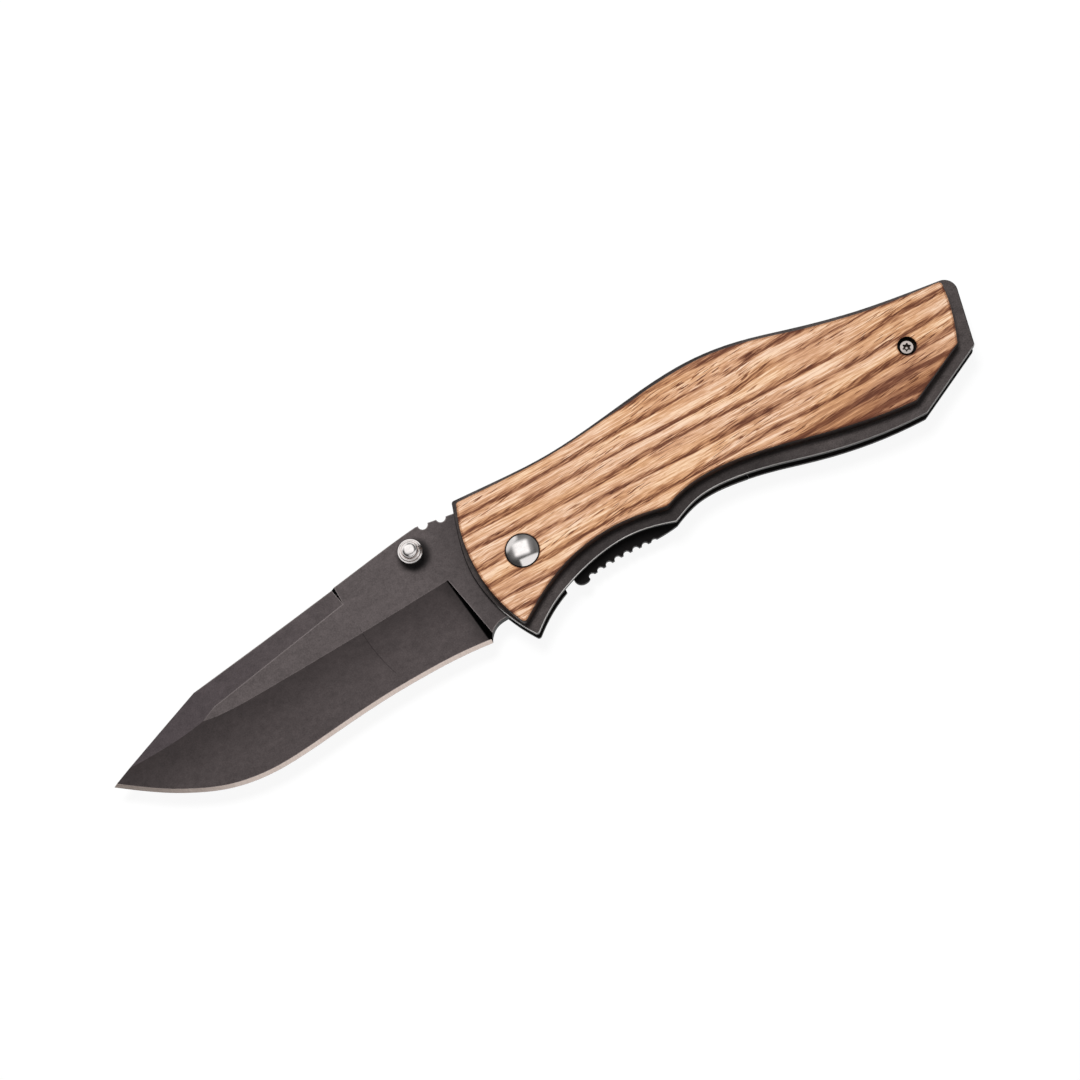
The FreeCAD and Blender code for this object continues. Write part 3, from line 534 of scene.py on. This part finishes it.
def makeWoodMaterial(finish):
    # dark stripes in a halo of dashes, strayed by slow noise, with threads, fine lines, fibres and pores
    material, tree, shader = newMaterial("stripedWood")
    face = Vector((pivot.x, pivot.y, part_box("front_scale")[1][2]))
    centred = vector(tree, "SUBTRACT", {0: coordinate(tree), 1: face})
    parts = split(tree, centred)
    wander, jostle, fray = woodLayers(tree, centred, finish, "wander", "jostle", "fray")
    height = calc(tree, "MULTIPLY_ADD", parts["X"], -finish["rise"], parts["Y"])
    height = calc(tree, "MULTIPLY_ADD", parts["Z"], finish["drift"], height)
    height = calc(tree, "ADD", height, sway(tree, wander, finish["wander"] * millimetre))
    grain = put(tree, "CombineXYZ", {0: parts["X"], 1: height, 2: parts["Z"]}).outputs[0]
    ragged = calc(tree, "ADD", height, sway(tree, jostle, finish["jostle"] * millimetre))
    ragged = calc(tree, "ADD", ragged, sway(tree, fray, finish["fray"] * millimetre))
    above = calc(tree, "SUBTRACT", ragged, finish["firstStripe"] * millimetre)
    phase = calc(tree, "FRACT", calc(tree, "DIVIDE", above, finish["pitch"] * millimetre))

    strength, patch, line, thread = woodLayers(tree, grain, finish, "strength", "patch", "line", "thread")
    fibre, fleck, cluster, warmth = woodLayers(tree, grain, finish, "fibre", "fleck", "cluster", "warmth")
    turn = (0.0, 0.0, -math.radians(finish["poreTurn"]))
    slant = put(tree, "Mapping", {"Vector": grain, "Rotation": turn}).outputs[0]
    dash, pore = woodLayers(tree, slant, finish, "dash", "pore")
    pore = times(tree, cluster, pore)
    strength = spread(tree, strength, *finish["strength"])
    core = times(tree, window(tree, phase, *finish["coreSides"]), strength,
                 spread(tree, line, *finish["coreLines"]), spread(tree, dash, *finish["coreDashes"]))
    halo = times(tree, window(tree, phase, *finish["haloSides"]), strength,
                 spread(tree, dash, *finish["haloDashes"]))
    thread = times(tree, thread, spread(tree, dash, *finish["threadDashes"]))

    tone = deepen(tree, finish["level"], finish, core=core, halo=halo, thread=thread)
    layers = ((patch, "patchDepth"), (line, "lineDepth"), (fibre, "fibreDepth"), (fleck, "fleckDepth"))
    for layer, depth in layers:
        tone = calc(tree, "ADD", tone, sway(tree, layer, finish[depth]))
    for spot, reach, depth in finish["zones"]:
        away = vector(tree, "SUBTRACT", {0: grain, 1: [*inMetres(spot), 0.0]})
        share = [1 / part for part in inMetres(reach)] + [0.0]
        away = vector(tree, "LENGTH", {0: vector(tree, "MULTIPLY", {0: away, 1: share})}, "Value")
        tone = calc(tree, "MULTIPLY_ADD", fade(tree, away, *finish["zoneEdge"]), -depth, tone)
    darkest = spread(tree, fibre, *finish["darkest"])
    tone = calc(tree, "SMOOTH_MAX", tone, darkest, finish["darkestEase"])
    border = place(tree, edgeBend, Radius=finish["borderRadius"] * millimetre, Least=finish["borderLeast"])
    tone = deepen(tree, tone, finish, pore=pore, border=border["Edge"])

    seatShade = 0.0
    for name, radius in finish["seats"]:
        away = place(tree, turnedRings, Centre=middle(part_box(name)))["Radius"]
        rim = fade(tree, away, *inMetres((radius + finish["seatEdge"], radius)))
        seatShade = calc(tree, "MAXIMUM", seatShade, rim)
    side = fade(tree, place(tree, facing)["Upright"], *finish["sideDarkLean"])
    sideDark = fade(tree, times(tree, fibre, tone), *finish["sideDarkTones"])
    colour = blend(tree, warmth, ramp(tree, tone, finish["tones"]), finish["warm"], "MULTIPLY")
    colour = blend(tree, side, colour, blend(tree, sideDark, *finish["sideDark"]))
    link(tree, shader, {
        "Base Color": blend(tree, seatShade, colour, finish["seatShade"]),
        "Roughness": spread(tree, fibre, *finish["rough"]),
        "Specular IOR Level": finish["specular"],
        "Normal": bump(tree, calc(tree, "SUBTRACT", fibre, pore), *finish["bump"]),
    })
    return material


metalFinish = {
    "polished": paint(238, 233, 231),
    "satin": paint(196, 186, 181),
    "plain": paint(164, 161, 158),
    "bronze": paint(204, 158, 104),
    "dull": paint(120, 116, 113),
    "ringPitch": 0.09,         # in millimetres
    "ringReach": 0.01,
    "patchScale": 2.0,         # handling marks are finer on small pieces
    "patchTint": 0.25,         # how dull they are
    "patchRough": 0.06,        # and how much rougher
}
metalPieces = (                # piece, colour, roughness, depth of the turning marks
    ("pivot_barrel", "polished", 0.12, 0.02), ("thumb_stud", "polished", 0.14, 0.03),
    ("detent_ball", "polished", 0.1, 0.0), ("stop_pin", "plain", 0.3, 0.25),
    ("spacer_pin_front", "plain", 0.3, 0.25), ("spacer_pin_middle", "plain", 0.3, 0.25),
    ("spacer_pin_rear", "plain", 0.3, 0.25), ("front_washer", "bronze", 0.38, 0.25),
    ("rear_washer", "bronze", 0.38, 0.25),
)
screwFinish = {
    "rough": 0.3,
    "rings": 0.2,
    "dark": paint(52, 46, 42),           # painted shade inside the star socket
    "depths": (0.1, 0.2, 0.825, 0.75),   # below the head's face, from where and down to where it is dark
    "glint": (0.16, 0.32),     # the middle of the socket, left undarkened, by radius
    "socketEdge": 0.1,
}
screwPieces = (                # piece, which end its head faces, radius of its star socket
    ("front_tail_screw", 1, 0.95), ("rear_tail_screw", 0, 0.95),
    ("pivot_screw", 0, 1.4), ("thumb_stud_screw", 0, 0.85),
)


def makeTurnedMaterial(name, colour, rough, ringDepth, socket=None):
    # bright metal turned about an upright axis; a screw's socket is painted dark as shade, but for its
    # middle
    material, tree, shader = newMaterial(name + "Metal")
    low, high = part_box(name)
    rings = place(tree, turnedRings, Centre=middle((low, high)),
                  Pitch=metalFinish["ringPitch"] * millimetre)
    patch = place(tree, smudge, Scale=metalFinish["patchScale"])["Patch"]
    tint = blend(tree, times(tree, patch, metalFinish["patchTint"]), colour, metalFinish["dull"])
    if socket:
        end, radius = socket
        level = split(tree, coordinate(tree))["Z"]
        depth = calc(tree, "ABSOLUTE", calc(tree, "SUBTRACT", level, (low, high)[end][2]))
        radii = (*screwFinish["glint"], radius + screwFinish["socketEdge"], radius)
        sunk = times(tree, window(tree, depth, *inMetres(screwFinish["depths"])),
                     window(tree, rings["Radius"], *inMetres(radii)))
        tint = blend(tree, sunk, tint, screwFinish["dark"])
    link(tree, shader, {
        "Base Color": tint,
        "Metallic": 1.0,
        "Roughness": spread(tree, patch, rough, rough + metalFinish["patchRough"]),
        "Normal": bump(tree, rings["Height"], ringDepth, metalFinish["ringReach"]),
    })
    return material


def dress(material, *names):
    for name in names:
        nodes[name].material_slots[0].material = material


dress(makeBladeMaterial(bladeFinish), "blade")
for name, coat, wall, pieces in linerPieces:
    dress(makeLinerMaterial(name, linerFinish, linerFinish[coat], linerFinish[wall]), *pieces)
dress(makeWoodMaterial(woodFinish), "front_scale", "rear_scale")
for name, colour, rough, ringDepth in metalPieces:
    dress(makeTurnedMaterial(name, metalFinish[colour], rough, ringDepth), name)
for name, end, radius in screwPieces:
    screw = makeTurnedMaterial(name, metalFinish["satin"], screwFinish["rough"], screwFinish["rings"],
                               (end, radius))
    dress(screw, name)
print("materials on", len(nodes), "nodes")

stageSet = {
    "reach": 3.0,              # the floor's radius, in metres
    "drop": 0.0001,            # how far it lies under the knife
    "rings": 24,
    "spokes": 64,
    "paper": (0.8, 0.8, 0.8, 1.0),       # what throws light back at the knife
    "rough": 0.9,
    "shadowed": (0.1, 0.1, 0.1, 1.0),    # the part of the white floor that can go dark in a shadow
    "glow": (0.92, 1.0),       # and the part that can't, near and far
    "glowReach": (0.3, 1.2),
}


def makeFloor(setting):
    # a disc: rings that widen as the square of their number, each turned through the spokes
    rings, spokes = setting["rings"], setting["spokes"]
    radius = setting["reach"] * (np.arange(1, rings + 1) / rings) ** 2
    angle = np.linspace(0, 2 * np.pi, spokes, endpoint=False)
    grid = np.stack([np.outer(radius, np.cos(angle)), np.outer(radius, np.sin(angle)),
                     np.full((rings, spokes), -setting["drop"])], axis=-1)
    points = np.vstack([[[0, 0, -setting["drop"]]], grid.reshape(-1, 3)])
    spoke = np.arange(spokes)
    following = np.roll(spoke, -1)
    hub = np.column_stack([np.zeros_like(spoke), spoke + 1, following + 1])
    inner = np.arange(rings - 1)[:, None] * spokes + 1
    outer = inner + spokes
    band = np.stack([inner + spoke, outer + spoke, outer + following, inner + following], axis=-1)
    mesh = bpy.data.meshes.new("floor")
    mesh.from_pydata(points.tolist(), [], hub.tolist() + band.reshape(-1, 4).tolist())
    floor = bpy.data.objects.new("floor", mesh)
    bpy.context.scene.collection.objects.link(floor)
    # near white to the camera and to metal, and plain paper to the light that falls on it
    material, tree, shader = newMaterial("floorPaper")
    link(tree, shader, {"Base Color": setting["paper"], "Roughness": setting["rough"]})
    shown = put(tree, "BsdfDiffuse", {"Color": setting["shadowed"]}).outputs[0]
    away = vector(tree, "LENGTH", {0: coordinate(tree)}, "Value")
    level = spread(tree, fade(tree, away, *setting["glowReach"]), *setting["glow"])
    glow = put(tree, "Emission", {"Color": (1.0, 1.0, 1.0, 1.0), "Strength": level}).outputs[0]
    paper = put(tree, "AddShader", {0: shown, 1: glow}).outputs[0]
    seen = calc(tree, "MAXIMUM", *rayKinds(tree))
    mixed = put(tree, "MixShader", {0: seen, 1: shader.outputs[0], 2: paper}).outputs[0]
    link(tree, tree.nodes["Material Output"], {"Surface": mixed})
    mesh.materials.append(material)


studioLight = {
    "wall": 1.0,               # the room near the horizon, as metal shows it
    "ceiling": 0.06,
    "wallFade": (0.1, 0.42),
    "fill": 0.06,              # what the room gives to dull surfaces
    "boxFade": (0.0, 0.1),     # where the soft boxes stop, over the horizon
    "boxes": (                 # as metal shows them: middle, turn in degrees, half sizes, edge, level
        (0.01, 0.33, -10.0, 0.4, 0.36, 0.12, 1.25),
        (0.03, 0.38, -10.0, 0.6, 0.5, 0.3, 0.34),
        (0.26, -0.52, -4.0, 0.62, 0.3, 0.05, 0.95),
        (-0.34, 0.8, 24.0, 0.42, 0.19, 0.12, 1.0),
        (0.78, 0.1, 0.0, 0.2, 0.6, 0.12, 0.16),
    ),
    "panels": (                # lean to +Y and to +X in degrees, distance, width, depth, power
        ("keyPanel", 16.0, 1.0, 0.9, 0.25, 0.23, 7.0),
        ("backPanel", 60.0, -16.0, 1.0, 0.5, 0.3, 1.7),
        ("frontPanel", -31.0, 18.0, 1.0, 0.5, 0.26, 0.7),
    ),
}


def softBox(tree, parts, middleX, middleY, turn, halfX, halfY, edge, level):
    # a soft-edged rectangle in the X and Y of the direction that a ray takes
    cosine, sine = math.cos(math.radians(turn)), math.sin(math.radians(turn))
    awayX = calc(tree, "SUBTRACT", parts["X"], middleX)
    awayY = calc(tree, "SUBTRACT", parts["Y"], middleY)
    along = calc(tree, "MULTIPLY_ADD", awayX, cosine, times(tree, awayY, sine))
    across = calc(tree, "MULTIPLY_ADD", awayY, cosine, times(tree, awayX, -sine))
    inX = fade(tree, calc(tree, "ABSOLUTE", along), halfX + edge, halfX - edge)
    inY = fade(tree, calc(tree, "ABSOLUTE", across), halfY + edge, halfY - edge)
    return times(tree, inX, inY, level)


def makeLight(setting):
    # a room that dull surfaces, metal and the camera each see at a level of its own, and three panels
    world = bpy.data.worlds.new("studio")
    bpy.context.scene.world = world
    world.use_nodes = True
    tree = world.node_tree
    tree.nodes.clear()
    parts = split(tree, coordinate(tree, "Generated"))
    room = spread(tree, fade(tree, parts["Z"], *setting["wallFade"]), setting["wall"], setting["ceiling"])
    above = fade(tree, parts["Z"], *setting["boxFade"])
    for box in setting["boxes"]:
        room = calc(tree, "MAXIMUM", room, times(tree, softBox(tree, parts, *box), above))
    camera, bent = rayKinds(tree)
    strength = spread(tree, camera, spread(tree, bent, setting["fill"], room), setting["wall"])
    back = put(tree, "Background", {"Color": (1.0, 1.0, 1.0, 1.0), "Strength": strength}).outputs[0]
    put(tree, "OutputWorld", {"Surface": back})
    for name, leanY, leanX, distance, width, depth, power in setting["panels"]:
        lamp = bpy.data.lights.new(name, "AREA")
        lamp.shape = "RECTANGLE"
        lamp.size, lamp.size_y, lamp.energy = width, depth, power
        panel = bpy.data.objects.new(name, lamp)
        panel.visible_glossy = False    # metal shows the soft boxes instead
        up, side = math.radians(leanY), math.radians(leanX)
        way = Vector((math.sin(side), math.sin(up) * math.cos(side), math.cos(up) * math.cos(side)))
        panel.location = way * distance
        panel.rotation_euler = way.to_track_quat("Z", "Y").to_euler()
        bpy.context.scene.collection.objects.link(panel)


cameraSet = {
    "lens": 88.0,
    "sensor": 36.0,
    "azimuth": -7.57,          # degrees; 0 looks along +Y
    "elevation": 76.39,
    "roll": 20.14,
    "distance": 0.5443,
    "target": (0.00002, -0.0004, 0.0061),
}


def makeCamera(setting):
    lens = bpy.data.cameras.new("photoCamera")
    lens.lens, lens.sensor_width = setting["lens"], setting["sensor"]
    camera = bpy.data.objects.new("photoCamera", lens)
    around, above = math.radians(setting["azimuth"]), math.radians(setting["elevation"])
    level = Vector((math.sin(around), -math.cos(around), 0.0))
    back = level * math.cos(above) + Vector((0.0, 0.0, math.sin(above)))
    camera.rotation_mode = "QUATERNION"
    camera.location = Vector(setting["target"]) + back * setting["distance"]
    unrolled = (-back).to_track_quat("-Z", "Y")
    camera.rotation_quaternion = unrolled @ Quaternion((0, 0, 1), -math.radians(setting["roll"]))
    bpy.context.scene.collection.objects.link(camera)
    bpy.context.scene.camera = camera


makeFloor(stageSet)
makeLight(studioLight)
makeCamera(cameraSet)
bpy.context.scene.view_settings.view_transform = "Standard"
print("stage, light and camera set")
